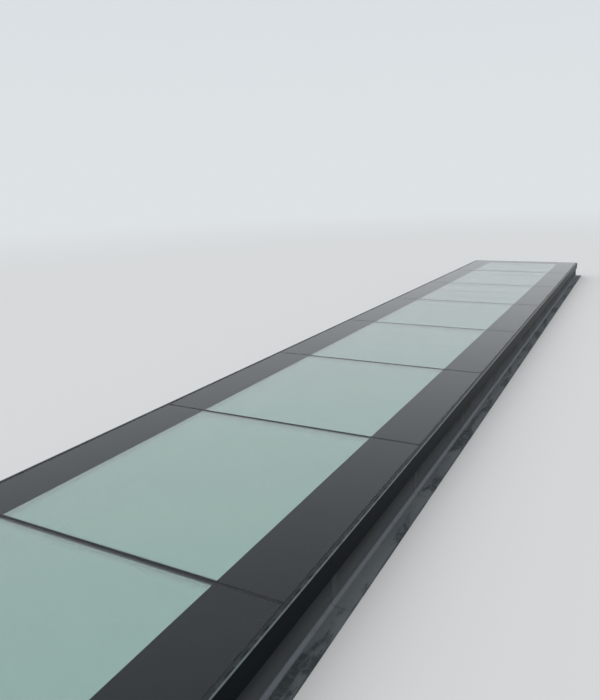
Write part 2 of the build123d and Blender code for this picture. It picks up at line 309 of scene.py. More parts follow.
def make_outward_distance():
    # How far a point lies outside the upstand's face on any of the four sides, and its place on that side
    tree, taken, given = effect(
        "Outward distance",
        [("Place", VECTOR, None)],
        [("Distance", NUMBER), ("Strip", VECTOR)],
    )
    parts = split(tree, taken["Place"])
    across = arithmetic(tree, "ABSOLUTE", parts["X"])
    across = arithmetic(tree, "SUBTRACT", across, half_width - upstand_in)
    along = arithmetic(tree, "ABSOLUTE", parts["Y"])
    along = arithmetic(tree, "SUBTRACT", along, half_length - upstand_in)
    feed(tree, given["Distance"], arithmetic(tree, "MAXIMUM", across, along))
    # A place on the strip: drawn out along the side, so that patterns stretch that way
    flank = arithmetic(tree, "GREATER_THAN", across, along)
    drawn = tree.nodes.new("ShaderNodeMix")
    drawn.data_type = "VECTOR"
    feed(tree, drawn.inputs[0], flank)
    feed(tree, drawn.inputs[4], stretched(tree, taken["Place"], (0.22, 1.0, 1.0)))
    feed(tree, drawn.inputs[5], stretched(tree, taken["Place"], (1.0, 0.22, 1.0)))
    feed(tree, given["Strip"], drawn.outputs[1])
    return tree


def make_brushing():
    tree, taken, given = effect(
        "Mill finish",
        [("Place", VECTOR, None), ("Line width", NUMBER, 0.0008)],
        [("Height", NUMBER), ("Shade", NUMBER)],
    )
    drawn = stretched(tree, taken["Place"], (1.0, 0.03, 1.0))
    scale = arithmetic(tree, "DIVIDE", 1.0, taken["Line width"])
    lines = noise(tree, drawn, scale, detail=3.0)
    feed(tree, given["Height"], lines)
    feed(tree, given["Shade"], ramp(tree, lines, 0.3, 0.7))
    return tree


effects = {
    "stain": make_patchy_stain(),
    "streaks": make_rain_streaks(),
    "dust": make_settled_dust(),
    "grain": make_surface_grain(),
    "wood": make_wood_grain(),
    "outward": make_outward_distance(),
    "mill": make_brushing(),
}


class Finish:
    # One material: its shader, its places to read a pattern from, and the effects put into it
    def __init__(self, name, **fixed):
        self.made = bpy.data.materials.new(name)
        self.made.use_nodes = True
        self.tree = self.made.node_tree
        self.tree.nodes.clear()
        self.shader = self.tree.nodes.new("ShaderNodeBsdfPrincipled")
        output = self.tree.nodes.new("ShaderNodeOutputMaterial")
        self.tree.links.new(self.shader.outputs[0], output.inputs["Surface"])
        reading = self.tree.nodes.new("ShaderNodeTexCoord")
        self.place = reading.outputs["Object"]
        self.normal = reading.outputs["Normal"]
        for label, value in fixed.items():
            self.shader.inputs[label.replace("_", " ")].default_value = value

    def use(self, name, **values):
        node = self.tree.nodes.new("ShaderNodeGroup")
        node.node_tree = effects[name]
        values.setdefault("Place", self.place)
        for label, value in values.items():
            feed(self.tree, node.inputs[label.replace("_", " ")], value)
        return node.outputs

    def colour(self, value):
        feed(self.tree, self.shader.inputs["Base Color"], value)

    def roughness(self, value):
        feed(self.tree, self.shader.inputs["Roughness"], value)

    def coat(self, value):
        feed(self.tree, self.shader.inputs["Coat Weight"], value)

    def relief(self, height, depth):
        bump = self.tree.nodes.new("ShaderNodeBump")
        bump.inputs["Strength"].default_value = 1.0
        bump.inputs["Distance"].default_value = depth
        feed(self.tree, bump.inputs["Height"], height)
        feed(self.tree, self.shader.inputs["Normal"], bump.outputs["Normal"])


def outer_glass():
    glass = Finish(
        "outer_glass",
        Base_Color=(0.93, 0.975, 0.955, 1),
        IOR=1.52,
        Transmission_Weight=1.0,
        Metallic=0.0,
    )
    film = glass.use("stain", Patch_size=0.42, Cover=0.45, Softness=0.2)["Mask"]
    spots = glass.use("stain", Patch_size=0.09, Cover=0.4, Softness=0.25, Shift=3.0)["Mask"]
    marks = times(glass.tree, film, spots)
    glass.roughness(between(glass.tree, marks, 0.0, 0.02))
    rolled = stretched(glass.tree, glass.place, (0.5, 3.0, 0.5))
    glass.relief(noise(glass.tree, rolled, 1.1, detail=1.0), 0.0012)
    return glass.made


def inner_glass():
    glass = Finish(
        "inner_glass",
        Base_Color=(0.76, 0.96, 0.87, 1),
        IOR=1.52,
        Transmission_Weight=1.0,
        Metallic=0.26,
    )
    film = glass.use("stain", Patch_size=0.6, Cover=0.5, Softness=0.25, Shift=7.0)["Mask"]
    glass.roughness(between(glass.tree, film, 0.0, 0.02))
    rolled = stretched(glass.tree, glass.place, (0.6, 2.4, 0.6))
    glass.relief(noise(glass.tree, rolled, 0.9, detail=1.0), 0.0016)
    return glass.made


def solar_coating():
    # The half-mirror on the outer lites' inner face: a layer so thin that it doesn't bend light.
    # Light meets both of its faces, and together they send back nearly twice what one does
    layer = Finish(
        "solar_coating",
        Base_Color=(0.88, 0.985, 0.935, 1),
        IOR=1.0,
        Transmission_Weight=1.0,
        Metallic=0.31,
    )
    film = layer.use("stain", Patch_size=0.5, Cover=0.5, Softness=0.25, Shift=2.0)["Mask"]
    layer.roughness(between(layer.tree, film, 0.0, 0.02))
    rolled = stretched(layer.tree, layer.place, (0.6, 2.4, 0.6))
    layer.relief(noise(layer.tree, rolled, 0.9, detail=1.0), 0.0016)
    return layer.made


def dark_enamel():
    enamel = Finish("dark_enamel", Specular_IOR_Level=0.0)
    depth = enamel.use("stain", Patch_size=0.5, Cover=0.5, Softness=0.3)["Mask"]
    thin = enamel.use("stain", Patch_size=0.07, Cover=0.5, Softness=0.3, Shift=4.0)["Mask"]
    base = blended(enamel.tree, depth, tone("191E25"), tone("1F242A"))
    faded = times(enamel.tree, thin, 0.25)
    enamel.colour(blended(enamel.tree, faded, base, tone("262C33")))
    enamel.roughness(between(enamel.tree, thin, 0.3, 0.4))
    return enamel.made


def frame_paint():
    paint = Finish("frame_paint", Specular_IOR_Level=0.015, Coat_Roughness=0.2, Coat_IOR=1.3)
    tree = paint.tree
    away = paint.use("outward")["Distance"]
    height = split(tree, paint.place)["Z"]
    dust = paint.use("dust", Normal=paint.normal, Amount=0.62, Patch_size=0.05)["Mask"]
    streaks = paint.use("streaks", Width=0.035, Cover=0.36)["Mask"]
    grain = paint.use("grain", Grain_size=0.0009, Unevenness=0.0)
    base = blended(tree, grain["Shade"], tone("0D1417"), tone("10191B"))
    streaked = blended(tree, times(tree, streaks, 0.25), base, tone("2E3432"))
    dusty = blended(tree, dust, streaked, tone("555A58"))
    # Painted highlight: a pale line along the outer arris, up to 8.5 mm in and 2.2 mm down, broken into
    # patches
    near_face = ramp(tree, away, upstand_in - 0.0085, upstand_in - 0.0055)
    near_top = ramp(tree, height, glass_top - 0.0022, glass_top - 0.0006)
    edge = times(tree, near_face, near_top)
    highlight_patches = paint.use("stain", Patch_size=0.05, Cover=0.75, Softness=0.3, Shift=6.0)["Mask"]
    painted_arris_highlight = times(tree, edge, between(tree, highlight_patches, 0.3, 0.85))
    # The arris takes the pale tone as a painted highlight
    paint.colour(blended(tree, painted_arris_highlight, dusty, tone("6A7174")))
    paint.roughness(ramp(tree, dust, 0.0, 0.6, 0.3, 0.5))
    # Rain rinses the flat top, which has kept more gloss than the upright faces
    flat = ramp(tree, split(tree, paint.normal)["Z"], 0.6, 0.95)
    paint.coat(times(tree, flat, 0.45))
    paint.relief(grain["Height"], 0.00005)
    return paint.made


def ledge_aluminium():
    paint = Finish("ledge_aluminium")
    grain = paint.use("grain", Grain_size=0.001, Unevenness=0.1)
    dust = paint.use("dust", Normal=paint.normal, Amount=0.4, Patch_size=0.1)["Mask"]
    base = blended(paint.tree, grain["Shade"], tone("55585A"), tone("5C5F60"))
    paint.colour(blended(paint.tree, dust, base, tone("7C7A72")))
    paint.roughness(between(paint.tree, grain["Shade"], 0.36, 0.46))
    paint.relief(grain["Height"], 0.00006)
    return paint.made


def bar_paint():
    paint = Finish("bar_paint")
    grain = paint.use("grain", Grain_size=0.0011, Unevenness=0.15)
    dust = paint.use("dust", Normal=paint.normal, Amount=0.35, Patch_size=0.06)["Mask"]
    base = blended(paint.tree, grain["Shade"], tone("AFAEA8"), tone("B9B8B2"))
    paint.colour(blended(paint.tree, dust, base, tone("A8A59A")))
    paint.roughness(between(paint.tree, grain["Shade"], 0.34, 0.44))
    paint.relief(grain["Height"], 0.00005)
    return paint.made


def bracket_aluminium():
    metal = Finish("bracket_aluminium", Metallic=1.0)
    mill = metal.use("mill", Line_width=0.0009)
    dull = metal.use("stain", Patch_size=0.03, Cover=0.4, Softness=0.2)["Mask"]
    base = blended(metal.tree, mill["Shade"], tone("C4C6C8"), tone("D2D3D4"))
    dulled = times(metal.tree, dull, 0.5)
    metal.colour(blended(metal.tree, dulled, base, tone("A7A9AA")))
    metal.roughness(between(metal.tree, mill["Shade"], 0.3, 0.45))
    metal.relief(mill["Height"], 0.00003)
    return metal.made


def screw_steel():
    metal = Finish("screw_steel", Metallic=1.0)
    worn = metal.use("stain", Patch_size=0.006, Cover=0.4, Softness=0.15)["Mask"]
    metal.colour(blended(metal.tree, worn, tone("C9C9C6"), tone("A09C8E")))
    metal.roughness(between(metal.tree, worn, 0.28, 0.5))
    return metal.made


def black_silicone():
    seal = Finish("black_silicone", Specular_IOR_Level=0.18)
    dust = seal.use("dust", Normal=seal.normal, Amount=0.22, Patch_size=0.05)["Mask"]
    grain = seal.use("grain", Grain_size=0.004, Unevenness=0.5)
    base = blended(seal.tree, grain["Shade"], tone("1C201F"), tone("262A29"))
    seal.colour(blended(seal.tree, dust, base, tone("50514B")))
    seal.roughness(ramp(seal.tree, dust, 0.0, 0.5, 0.42, 0.8))
    seal.relief(grain["Height"], 0.0003)
    return seal.made


def foam_tape():
    foam = Finish("foam_tape", Specular_IOR_Level=0.2)
    grain = foam.use("grain", Grain_size=0.0012, Unevenness=0.3)
    foam.colour(blended(foam.tree, grain["Shade"], tone("B4B6B3"), tone("C2C4C0")))
    foam.roughness(between(foam.tree, grain["Shade"], 0.85, 0.97))
    foam.relief(grain["Height"], 0.0004)
    return foam.made


def spacer_bar():
    spacer = Finish("spacer_bar", Specular_IOR_Level=0.35)
    grain = spacer.use("grain", Grain_size=0.0025, Unevenness=0.2)
    spacer.colour(blended(spacer.tree, grain["Shade"], tone("2E3433"), tone("3A403E")))
    spacer.roughness(between(spacer.tree, grain["Shade"], 0.45, 0.6))
    spacer.relief(grain["Height"], 0.0001)
    return spacer.made


def break_plastic():
    plastic = Finish("break_plastic")
    grain = plastic.use("grain", Grain_size=0.0015, Unevenness=0.2)
    plastic.colour(blended(plastic.tree, grain["Shade"], tone("2C2C2E"), tone("353537")))
    plastic.roughness(between(plastic.tree, grain["Shade"], 0.5, 0.65))
    plastic.relief(grain["Height"], 0.00008)
    return plastic.made


def packer_plastic():
    plastic = Finish("packer_plastic")
    grain = plastic.use("grain", Grain_size=0.002, Unevenness=0.2)
    plastic.colour(blended(plastic.tree, grain["Shade"], tone("3E6A95"), tone("4676A3")))
    plastic.roughness(between(plastic.tree, grain["Shade"], 0.4, 0.55))
    plastic.relief(grain["Height"], 0.0001)
    return plastic.made


def plywood():
    wood = Finish("plywood", Specular_IOR_Level=0.3)
    grain = wood.use("wood", Ring_width=0.022, Wander=5.0)
    knots = wood.use("stain", Patch_size=0.12, Cover=0.12, Softness=0.05)["Mask"]
    base = blended(wood.tree, grain["Rings"], tone("B98F62"), tone("CDA679"))
    fibres = times(wood.tree, grain["Fibre"], 0.35)
    fibred = blended(wood.tree, fibres, base, tone("9A7349"))
    wood.colour(blended(wood.tree, times(wood.tree, knots, 0.6), fibred, tone("6E4C2C")))
    wood.roughness(ramp(wood.tree, grain["Fibre"], 0.3, 0.7, 0.7, 0.85))
    wood.relief(grain["Fibre"], 0.0003)
    return wood.made


def timber():
    wood = Finish("timber", Specular_IOR_Level=0.3)
    grain = wood.use("wood", Ring_width=0.009, Wander=2.0)
    base = blended(wood.tree, grain["Rings"], tone("C29A68"), tone("DDBB8B"))
    fibres = times(wood.tree, grain["Fibre"], 0.3)
    wood.colour(blended(wood.tree, fibres, base, tone("A47C4B")))
    wood.roughness(ramp(wood.tree, grain["Fibre"], 0.3, 0.7, 0.68, 0.82))
    wood.relief(grain["Fibre"], 0.0004)
    return wood.made


def lining_paint():
    paint = Finish("lining_paint", Specular_IOR_Level=0.35)
    stipple = paint.use("grain", Grain_size=0.003, Unevenness=0.4)
    marks = paint.use("stain", Patch_size=0.5, Cover=0.3, Softness=0.25)["Mask"]
    base = blended(paint.tree, stipple["Shade"], tone("E6E6E2"), tone("ECECE9"))
    paint.colour(blended(paint.tree, times(paint.tree, marks, 0.4), base, tone("D6D5CE")))
    paint.roughness(between(paint.tree, stipple["Shade"], 0.55, 0.7))
    paint.relief(stipple["Height"], 0.0002)
    return paint.made


def insulation_board():
    board = Finish("insulation_board", Specular_IOR_Level=0.2)
    cells = board.use("grain", Grain_size=0.0018, Unevenness=0.3)
    aged = board.use("stain", Patch_size=0.25, Cover=0.4, Softness=0.25)["Mask"]
    base = blended(board.tree, cells["Shade"], tone("D9C48F"), tone("E6D4A4"))
    board.colour(blended(board.tree, times(board.tree, aged, 0.5), base, tone("C6A868")))
    board.roughness(between(board.tree, cells["Shade"], 0.85, 0.95))
    board.relief(cells["Height"], 0.0005)
    return board.made


def membrane():
    sheet = Finish("membrane", Specular_IOR_Level=0.4)
    tree = sheet.tree
    away = sheet.use("outward")["Distance"]
    height = split(tree, sheet.place)["Z"]
    grain = sheet.use("grain", Grain_size=0.0022, Unevenness=1.5)
    bloom = sheet.use("stain", Patch_size=0.4, Cover=0.5, Softness=0.25)["Mask"]
    base = blended(tree, bloom, tone("5A6065"), tone("686D6F"))
    # Chalky wear on the cant, where water and feet rub it, together with a painted highlight on the cant's
    # lit face
    cant_top = flange_top + cant_leg
    off_upstand = ramp(tree, away, -0.001, 0.005)
    off_flange = ramp(tree, away, cant_leg + 0.007, cant_leg - 0.006)
    below_top = ramp(tree, height, cant_top + 0.008, cant_top - 0.002)
    over_cant = times(tree, times(tree, off_upstand, off_flange), below_top)
    worn = sheet.use("stain", Patch_size=0.09, Cover=0.7, Softness=0.25, Shift=5.0)["Mask"]
    chalk_and_highlight = times(tree, over_cant, between(tree, worn, 0.35, 0.85))
    base = blended(tree, chalk_and_highlight, base, tone("73797F"))
    # Painted shade on the upstand under the frame's overhang: the sheet is painted darker, most toward the
    # top
    on_upstand = ramp(tree, away, 0.004, 0.0005)
    overhang_shade = ramp(tree, height, cant_top + 0.002, fascia_bottom - 0.014, 0.38, 1.0)
    base = blended(tree, times(tree, on_upstand, overhang_shade), base, tone("15191C"))
    # Dark growth in patches on the flange, drawn out along it
    on_flange = ramp(tree, away, cant_leg - 0.001, cant_leg + 0.007)
    strip = sheet.use("outward")["Strip"]
    growth = sheet.use("stain", Place=strip, Patch_size=0.09, Cover=0.44, Softness=0.04, Shift=2.5)["Mask"]
    thin = sheet.use("stain", Patch_size=0.03, Cover=0.6, Softness=0.12, Shift=9.0)["Mask"]
    broken = times(tree, growth, between(tree, thin, 0.45, 1.0))
    # A thin dark line of dirt lies along the flange's outer edge
    flange_edge = upstand_in + flange_reach
    rim = ramp(tree, away, flange_edge - 0.010, flange_edge - 0.002)
    line = sheet.use("stain", Place=strip, Patch_size=0.06, Cover=0.5, Softness=0.12, Shift=12.0)["Mask"]
    dirt = arithmetic(tree, "MAXIMUM", times(tree, on_flange, broken), times(tree, rim, line))
    sheet.colour(blended(tree, times(tree, dirt, 0.85), base, tone("30373A")))
    sheet.roughness(between(tree, bloom, 0.62, 0.8))
    sheet.relief(grain["Height"], 0.0004)
    return sheet.made


def grit_finish():
    grit = Finish("roof_grit", Specular_IOR_Level=0.25)
    mixed = grit.use("stain", Patch_size=0.02, Cover=0.5, Softness=0.1)["Mask"]
    grit.colour(blended(grit.tree, mixed, tone("5B5748"), tone("8A867A")))
    grit.roughness(between(grit.tree, mixed, 0.8, 0.95))
    return grit.made


finishes = {
    "outer_glass": outer_glass(),
    "inner_glass": inner_glass(),
    "solar_coating": solar_coating(),
    "dark_enamel": dark_enamel(),
    "frame_paint": frame_paint(),
    "ledge_aluminium": ledge_aluminium(),
    "bar_paint": bar_paint(),
    "bracket_aluminium": bracket_aluminium(),
    "screw_steel": screw_steel(),
    "black_silicone": black_silicone(),
    "foam_tape": foam_tape(),
    "spacer_bar": spacer_bar(),
    "break_plastic": break_plastic(),
    "packer_plastic": packer_plastic(),
    "plywood": plywood(),
    "timber": timber(),
    "lining_paint": lining_paint(),
    "insulation_board": insulation_board(),
    "membrane": membrane(),
}

# Every construction node takes the finish that its record names
for row in frame["record"]["subparts"]:
    node = nodes[row["node"]]
    node.data.materials.clear()
    node.data.materials.append(finishes[row["material_slot"]])


def finished(name, mesh, finish):
    # A piece of the scene's own, with its material, its slot and the body that it rides on
    piece = bpy.data.objects.new(name, mesh)
    bpy.context.scene.collection.objects.link(piece)
    mesh.materials.clear()
    mesh.materials.append(finish)
    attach(piece, "root")
    return piece


def wetting_piece(name, node_name, touched_level, slot_name):
    # What wets the glass: the face that touches a lite from below lies a hair inside it
    mesh = nodes[node_name].data.copy()
    build = bmesh.new()
    build.from_mesh(mesh)
    bmesh.ops.remove_doubles(build, verts=build.verts, dist=1e-5)
    for corner in build.verts:
        if abs(corner.co.z - touched_level) < 5 * wetting_depth:
            corner.co.z = touched_level + wetting_depth
    build.to_mesh(mesh)
    build.free()
    piece = finished(name, mesh, finishes[slot_name])
    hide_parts(node_name)


wetting_piece("fired_enamel", "enamel_bands", lite_bottom, "dark_enamel")
wetting_piece("pressed_tapes", "glazing_tapes", inner_lite_bottom, "foam_tape")
wetting_piece("pressed_air_seals", "air_seals", inner_lite_bottom, "foam_tape")


def coated_fields():
    # The coating covers each pane's clear field and stops short of the edge seal
    across = half_width - clear_set_in
    lengthwise_limit = half_length - clear_set_in
    middle = lite_bottom - coating_drop
    mesh = bpy.data.meshes.new("coated_fields")
    build = bmesh.new()
    for lite in outer_lites:
        near = max(start_of(lite, Y) + coating_margin, -lengthwise_limit)
        far = min(end_of(lite, Y) - coating_margin, lengthwise_limit)
        size = Matrix.Diagonal((2 * across, far - near, coating_thickness, 1))
        place = Matrix.Translation((0, (near + far) / 2, middle))
        bmesh.ops.create_cube(build, size=1, matrix=place @ size)
    build.to_mesh(mesh)
    build.free()
    finished("coated_fields", mesh, finishes["solar_coating"])


coated_fields()


# Geometry Nodes helpers for what repeats
def node_tree(name, inputs):
    tree = bpy.data.node_groups.new(name, "GeometryNodeTree")
    tree.interface.new_socket("Geometry", in_out="INPUT", socket_type="NodeSocketGeometry")
    for label, kind in inputs:
        tree.interface.new_socket(label, in_out="INPUT", socket_type=kind)
    tree.interface.new_socket("Geometry", in_out="OUTPUT", socket_type="NodeSocketGeometry")
    taken = tree.nodes.new("NodeGroupInput").outputs
    given = tree.nodes.new("NodeGroupOutput").inputs
    return tree, taken, given


def set_up(tree, kind, values=(), **settings):
    node = tree.nodes.new(kind)
    for label, value in settings.items():
        setattr(node, label, value)
    for label, value in dict(values).items():
        feed(tree, node.inputs[label], value)
    return node


def close_tree(tree, copies, finish, result):
    # Every tree ends alike: the copies are made real and take their material
    real = set_up(tree, "GeometryNodeRealizeInstances", {"Geometry": copies})
    dressed = set_up(tree, "GeometryNodeSetMaterial", {"Geometry": real.outputs[0], "Material": finish})
    feed(tree, result, dressed.outputs[0])


def grown(name, start_mesh, tree, values, finish):
    # Runs a tree on a start mesh and keeps the result as a plain mesh
    carrier = bpy.data.objects.new(name + "_start", start_mesh)
    bpy.context.scene.collection.objects.link(carrier)
    modifier = carrier.modifiers.new("grow", "NODES")
    modifier.node_group = tree
    names = {item.name: item.identifier for item in tree.interface.items_tree if item.in_out == "INPUT"}
    for label, value in values.items():
        modifier[names[label]] = value
    shown = carrier.evaluated_get(bpy.context.evaluated_depsgraph_get())
    mesh = bpy.data.meshes.new_from_object(shown)
    mesh.name = name
    carrier.modifiers.remove(modifier)
    bpy.data.objects.remove(carrier)
    return finished(name, mesh, finish)


def seat_mesh(name, seats):
    # Points with the direction that each one faces
    mesh = bpy.data.meshes.new(name)
    mesh.from_pydata([seat for seat, facing in seats], [], [])
    facing_layer = mesh.attributes.new("facing", "FLOAT_VECTOR", "POINT")
    for n, (seat, facing) in enumerate(seats):
        facing_layer.data[n].vector = facing
    return mesh


def screw_tree():
    # A hexagon head on a round flange, turned the way that its seat faces
    tree, taken, given = node_tree(
        "Flanged screws",
        [
            ("Head across", NUMBER),
            ("Head height", NUMBER),
            ("Flange across", NUMBER),
            ("Flange height", NUMBER),
            ("Finish", "NodeSocketMaterial"),
        ],
    )
    flat_to_corner = 1 / math.cos(math.radians(30))
    flange_top_share = 0.84
    head_radius = times(tree, taken["Head across"], 0.5 * flat_to_corner)
    hexagon = set_up(
        tree,
        "GeometryNodeMeshCylinder",
        {"Vertices": 6, "Radius": head_radius, "Depth": taken["Head height"]},
    )
    flange = set_up(
        tree,
        "GeometryNodeMeshCone",
        {
            "Vertices": 16,
            "Radius Bottom": times(tree, taken["Flange across"], 0.5),
            "Radius Top": times(tree, taken["Flange across"], 0.5 * flange_top_share),
            "Depth": taken["Flange height"],
        },
    )
    lift = tree.nodes.new("ShaderNodeCombineXYZ")
    half_head = times(tree, taken["Head height"], 0.5)
    feed(tree, lift.inputs["Z"], arithmetic(tree, "ADD", half_head, taken["Flange height"]))
    moved = set_up(
        tree,
        "GeometryNodeTransform",
        {"Geometry": hexagon.outputs["Mesh"], "Translation": lift.outputs[0]},
    )
    joined = tree.nodes.new("GeometryNodeJoinGeometry")
    tree.links.new(moved.outputs[0], joined.inputs[0])
    tree.links.new(flange.outputs["Mesh"], joined.inputs[0])
    facing = set_up(tree, "GeometryNodeInputNamedAttribute", {"Name": "facing"}, data_type="FLOAT_VECTOR")
    way = facing.outputs["Attribute"]
    turned = set_up(tree, "FunctionNodeAlignRotationToVector", {"Vector": way}, axis="Z")
    placed = set_up(
        tree,
        "GeometryNodeInstanceOnPoints",
        {"Points": taken["Geometry"], "Instance": joined.outputs[0], "Rotation": turned.outputs[0]},
    )
    close_tree(tree, placed.outputs[0], taken["Finish"], given["Geometry"])
    return tree


def bracket_screws(x, y, level, inward, upright):
    # Two seats on one angle bracket, with their facings: on its flat leg, then on its upright leg
    ux, uy = inward
    flat_level = level + upright * bracket_thickness
    upright_level = level + upright * screw_place
    flat_seat = (x + ux * screw_place, y + uy * screw_place, flat_level)
    upright_seat = (x + ux * bracket_thickness, y + uy * bracket_thickness, upright_level)
    return [(flat_seat, (0, 0, upright)), (upright_seat, (ux, uy, 0))]


def screw_seats():
    # The seats of all screws, with the direction that each screw points out
    seats = []
    side_x = half_width - ledge_end
    end_y = half_length - ledge_end
    # Frame brackets stand in the corner between the ledge and the kerb
    for place in pane_places:
        seats += bracket_screws(side_x, place, frame_base, (-1, 0), 1)
        seats += bracket_screws(-side_x, place, frame_base, (1, 0), 1)
    for n in range(end_bracket_count):
        along = (n - (end_bracket_count - 1) / 2) * end_bracket_pitch
        seats += bracket_screws(along, end_y, frame_base, (0, -1), 1)
        seats += bracket_screws(along, -end_y, frame_base, (0, 1), 1)
    # Bar brackets hang under the ends of the cross bars
    for place in joint_places:
        for flank in (-1, 1):
            seats += bracket_screws(flank * side_x, place, bar_bottom, (-flank, 0), -1)
    return seats


# Flanged hexagon screws on every bracket, sizes in metres
screws = grown(
    "flanged_screws",
    seat_mesh("screw_seats", screw_seats()),
    screw_tree(),
    {
        "Head across": 0.008,
        "Head height": 0.0042,
        "Flange across": 0.0125,
        "Flange height": 0.0012,
        "Finish": finishes["screw_steel"],
    },
    finishes["screw_steel"],
)
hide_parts("screw_heads")


def bend_arc(corner, start_way, end_way, radius, count=5):
    # Points along the rounded bend that joins two straight lengths at a corner
    start = Vector(start_way).normalized()
    end = Vector(end_way).normalized()
    reach = radius * math.tan(start.angle(end) / 2)
    side = Vector((-start.y, start.x))
    side = side if side.dot(end) > 0 else -side
    first = Vector(corner) - start * reach
    middle = first + side * radius
    turn = start.angle(end)
    points = []
    for n in range(count):
        angle = turn * n / (count - 1)
        points.append(tuple(middle - side * radius * math.cos(angle) + start * radius * math.sin(angle)))
    return points


def lap_path(shift):
    # The membrane's outline from the flange's edge to under the frame, moved out by a shift
    half_bend = math.radians(22.5)
    slip = shift * math.tan(half_bend)
    face = half_width - upstand_in + shift
    deck = flange_top + shift
    foot = (half_width - upstand_in + cant_leg + slip, deck)
    top = (face, flange_top + cant_leg + slip)
    radius = membrane_bend - shift
    path = [(half_width + flange_reach - lap_edge_gap, deck)]
    path += bend_arc(foot, (-1, 0), (-1, 1), radius)
    path += bend_arc(top, (-1, 1), (0, 1), radius)
    return path + [(face, fascia_bottom - lap_top_gap)]


def lap_mesh(width, thickness):
    # One lap as a closed strip across the membrane
    inner = lap_path(0.0)
    outer = lap_path(thickness)
    outline = inner + outer[::-1]
    mesh = bpy.data.meshes.new("lap")
    build = bmesh.new()
    rings = []
    for along in (-width / 2, width / 2):
        rings.append([build.verts.new((x, along, z)) for x, z in outline])
    count = len(outline)
    for n in range(count):
        m = (n + 1) % count
        build.faces.new((rings[0][n], rings[0][m], rings[1][m], rings[1][n]))
    build.faces.new(rings[0][::-1])
    build.faces.new(rings[1])
    bmesh.ops.recalc_face_normals(build, faces=build.faces)
    build.to_mesh(mesh)
    build.free()
    return mesh


def lap_tree():
    # A lap at every spot, turned as the spot says and slid a little along the side
    tree, taken, given = node_tree(
        "Membrane laps",
        [
            ("Lap", "NodeSocketObject"),
            ("Wander", NUMBER),
            ("Seed", "NodeSocketInt"),
            ("Finish", "NodeSocketMaterial"),
        ],
    )
    strip = set_up(tree, "GeometryNodeObjectInfo", {"Object": taken["Lap"]})
    turn = set_up(tree, "GeometryNodeInputNamedAttribute", {"Name": "turn"}, data_type="FLOAT")
    spun = tree.nodes.new("ShaderNodeCombineXYZ")
    feed(tree, spun.inputs["Z"], turn.outputs["Attribute"])
    back = times(tree, taken["Wander"], -1.0)
    slide = set_up(
        tree,
        "FunctionNodeRandomValue",
        {"Min": back, "Max": taken["Wander"], "Seed": taken["Seed"]},
        data_type="FLOAT",
    )
    shift = tree.nodes.new("ShaderNodeCombineXYZ")
    feed(tree, shift.inputs["Y"], slide.outputs["Value"])
    placed = set_up(
        tree,
        "GeometryNodeInstanceOnPoints",
        {"Points": taken["Geometry"], "Instance": strip.outputs["Geometry"], "Rotation": spun.outputs[0]},
    )
    slid = set_up(
        tree,
        "GeometryNodeTranslateInstances",
        {"Instances": placed.outputs[0], "Translation": shift.outputs[0], "Local Space": True},
    )
    close_tree(tree, slid.outputs[0], taken["Finish"], given["Geometry"])
    return tree


def membrane_laps():
    # Welded laps across the membrane, where one length of sheet overlaps the next
    strip = bpy.data.objects.new("lap_pattern", lap_mesh(lap_width, lap_thickness))
    bpy.context.scene.collection.objects.link(strip)
    spare_pitches = 0.6
    lap_pitch = 2 * half_length / (lap_count + spare_pitches)
    left_offset = 0.04
    end_offset = 0.21
    spots = []
    for n in range(lap_count):
        along = (n + 0.5 - lap_count / 2) * lap_pitch
        spots.append(((0, along, 0), 0.0))
        spots.append(((0, along + left_offset, 0), math.pi))
    for flank in (-1, 1):
        # A lap on an end is one of the right side's, turned a quarter about the spot
        spot = (flank * end_offset, flank * (half_length - half_width), 0)
        spots.append((spot, flank * math.pi / 2))
    mesh = bpy.data.meshes.new("lap_spots")
    mesh.from_pydata([spot for spot, turn in spots], [], [])
    turns = mesh.attributes.new("turn", "FLOAT", "POINT")
    for n, (spot, turn) in enumerate(spots):
        turns.data[n].value = turn
    values = {"Lap": strip, "Wander": lap_wander, "Seed": 4, "Finish": finishes["membrane"]}
    grown("membrane_laps", mesh, lap_tree(), values, finishes["membrane"])
    bpy.data.objects.remove(strip)


membrane_laps()


def grit_tree():
    # Flat grains strewn in clumps over a band
    tree, taken, given = node_tree(
        "Roof grit",
        [
            ("Density", NUMBER),
            ("Smallest", NUMBER),
            ("Largest", NUMBER),
            ("Seed", "NodeSocketInt"),
            ("Finish", "NodeSocketMaterial"),
        ],
    )
    spot = set_up(tree, "GeometryNodeInputPosition")
    clumps = noise(tree, spot.outputs[0], 1.3, detail=3.0)
    share = ramp(tree, clumps, 0.48, 0.66)
    density = times(tree, share, taken["Density"])
    spread = set_up(
        tree,
        "GeometryNodeDistributePointsOnFaces",
        {"Mesh": taken["Geometry"], "Density": density, "Seed": taken["Seed"]},
    )
    grain = set_up(tree, "GeometryNodeMeshIcoSphere", {"Radius": 1.0, "Subdivisions": 1})
    size = set_up(
        tree,
        "FunctionNodeRandomValue",
        {"Min": taken["Smallest"], "Max": taken["Largest"], "Seed": taken["Seed"]},
        data_type="FLOAT",
    )
    width_share = 0.75
    height_share = 0.4
    flat = tree.nodes.new("ShaderNodeCombineXYZ")
    feed(tree, flat.inputs["X"], size.outputs["Value"])
    feed(tree, flat.inputs["Y"], times(tree, size.outputs["Value"], width_share))
    feed(tree, flat.inputs["Z"], times(tree, size.outputs["Value"], height_share))
    full_turn = 6.28
    angle = set_up(
        tree,
        "FunctionNodeRandomValue",
        {"Min": 0.0, "Max": full_turn, "Seed": 3},
        data_type="FLOAT",
    )
    turned = tree.nodes.new("ShaderNodeCombineXYZ")
    feed(tree, turned.inputs["Z"], angle.outputs["Value"])
    placed = set_up(
        tree,
        "GeometryNodeInstanceOnPoints",
        {
            "Points": spread.outputs["Points"],
            "Instance": grain.outputs["Mesh"],
            "Rotation": turned.outputs[0],
            "Scale": flat.outputs[0],
        },
    )
    close_tree(tree, placed.outputs[0], taken["Finish"], given["Geometry"])
    return tree


